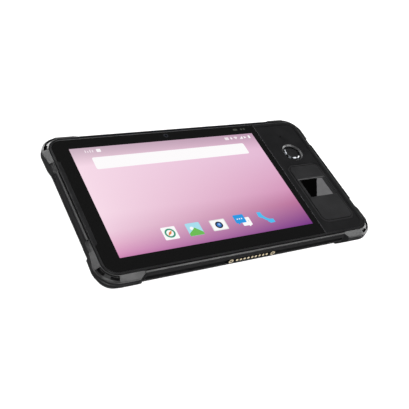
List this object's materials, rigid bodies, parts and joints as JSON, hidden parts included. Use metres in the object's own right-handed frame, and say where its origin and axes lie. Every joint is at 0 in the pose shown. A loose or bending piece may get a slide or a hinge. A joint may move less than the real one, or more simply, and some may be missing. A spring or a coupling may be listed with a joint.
{
  "type": "rugged tablet data collector",
  "caption": "Rugged tablet for collecting data in the field, with rubber corner bumpers, a lit display, a round button and a fingerprint reader beside it, and a dock connector.",
  "frame": {"origin": "middle of the footprint, on the surface that the tablet's back rests on", "axes": "+Z out of the display, +Y to the top of the picture, +X to the control panel"},
  "size_m": [0.251, 0.1428, 0.018],
  "materials": {
    "case_plastic": "satin textured black",
    "shell_plastic": "fine textured black",
    "bumper_rubber": "matt moulded rubber",
    "black_glass": "polished, black border",
    "lit_display": "lit picture",
    "panel_plastic": "fine textured dark grey",
    "button_plastic": "satin",
    "bright_trim": "polished",
    "reader_glass": "polished prism",
    "gasket_rubber": "soft",
    "chassis_metal": "cast, bead blasted",
    "steel": "plated",
    "gold_contact": "gold plated",
    "circuit_board": "solder mask",
    "component_plastic": "moulded",
    "backlight_sheet": "smooth",
    "battery_wrap": "film wrap",
    "copper_foil": "thin foil",
    "lens_glass": "coated",
    "lamp_lens": "frosted"
  },
  "bodies": {
    "tablet": {"front_frame": "case_plastic", "rear_shell": "shell_plastic", "case_gasket": "gasket_rubber", "mid_frame": "chassis_metal", "case_screws": "steel", "strap_inserts": "gold_contact", "bumper_bottom_left": "bumper_rubber", "bumper_bottom_right": "bumper_rubber", "bumper_top_left": "bumper_rubber", "bumper_top_right": "bumper_rubber", "cover_glass": "black_glass", "glass_adhesive": "gasket_rubber", "display_panel": "lit_display", "backlight_unit": "backlight_sheet", "left_bezel_strip": "case_plastic", "control_panel": "panel_plastic", "microphone_mesh": "component_plastic", "microphone": "steel", "button_ring": "bright_trim", "button_switch": "component_plastic", "button_board": "circuit_board", "reader_bezel": "panel_plastic", "reader_prism": "reader_glass", "reader_housing": "component_plastic", "reader_sensor_board": "circuit_board", "reader_lights": "lamp_lens", "dock_housing": "component_plastic", "dock_contacts": "gold_contact", "dock_guide_rings": "gold_contact", "dock_board": "circuit_board", "volume_rocker_pin": "steel", "key_switches": "component_plastic", "key_board": "circuit_board", "port_cover_pin": "steel", "usb_socket": "steel", "audio_socket": "component_plastic", "card_socket": "steel", "port_board": "circuit_board", "main_board": "circuit_board", "processor_shield": "steel", "radio_shield": "steel", "radio_antenna": "copper_foil", "near_field_coil": "copper_foil", "battery": "battery_wrap", "battery_contacts": "gold_contact", "battery_cover": "shell_plastic", "battery_cover_gasket": "gasket_rubber", "battery_cover_screws": "steel", "rear_camera": "component_plastic", "rear_camera_window": "lens_glass", "flash_lens": "lamp_lens", "front_camera": "component_plastic", "light_sensor_board": "circuit_board", "speaker": "component_plastic", "speaker_mesh": "steel", "vibration_motor": "steel"},
    "round_button": {"button_cap": "button_plastic"},
    "power_button": {"power_key": "button_plastic"},
    "volume_button": {"volume_rocker": "button_plastic"},
    "port_door": {"port_cover": "bumper_rubber"}
  },
  "joints": [
    {"name": "round_button_press", "type": "slide", "parent": "tablet", "child": "round_button", "axis": [0, 0, -1], "range_m": [0, 0.0006], "stiffness_N_per_m": 800},
    {"name": "power_button_press", "type": "slide", "parent": "tablet", "child": "power_button", "axis": [0, -1, 0], "range_m": [0, 0.0004], "stiffness_N_per_m": 800},
    {"name": "volume_button_rock", "type": "hinge", "parent": "tablet", "child": "volume_button", "pos_m": [-0.038, 0.066, 0.0124], "axis": [0, 0, 1], "range_deg": [-2, 2], "stiffness_Nm_per_rad": 0.05},
    {"name": "port_door_hinge", "type": "hinge", "parent": "tablet", "child": "port_door", "pos_m": [0.1224, 0, 0.0103], "axis": [0, 1, 0], "range_deg": [0, 90]}
  ]
}
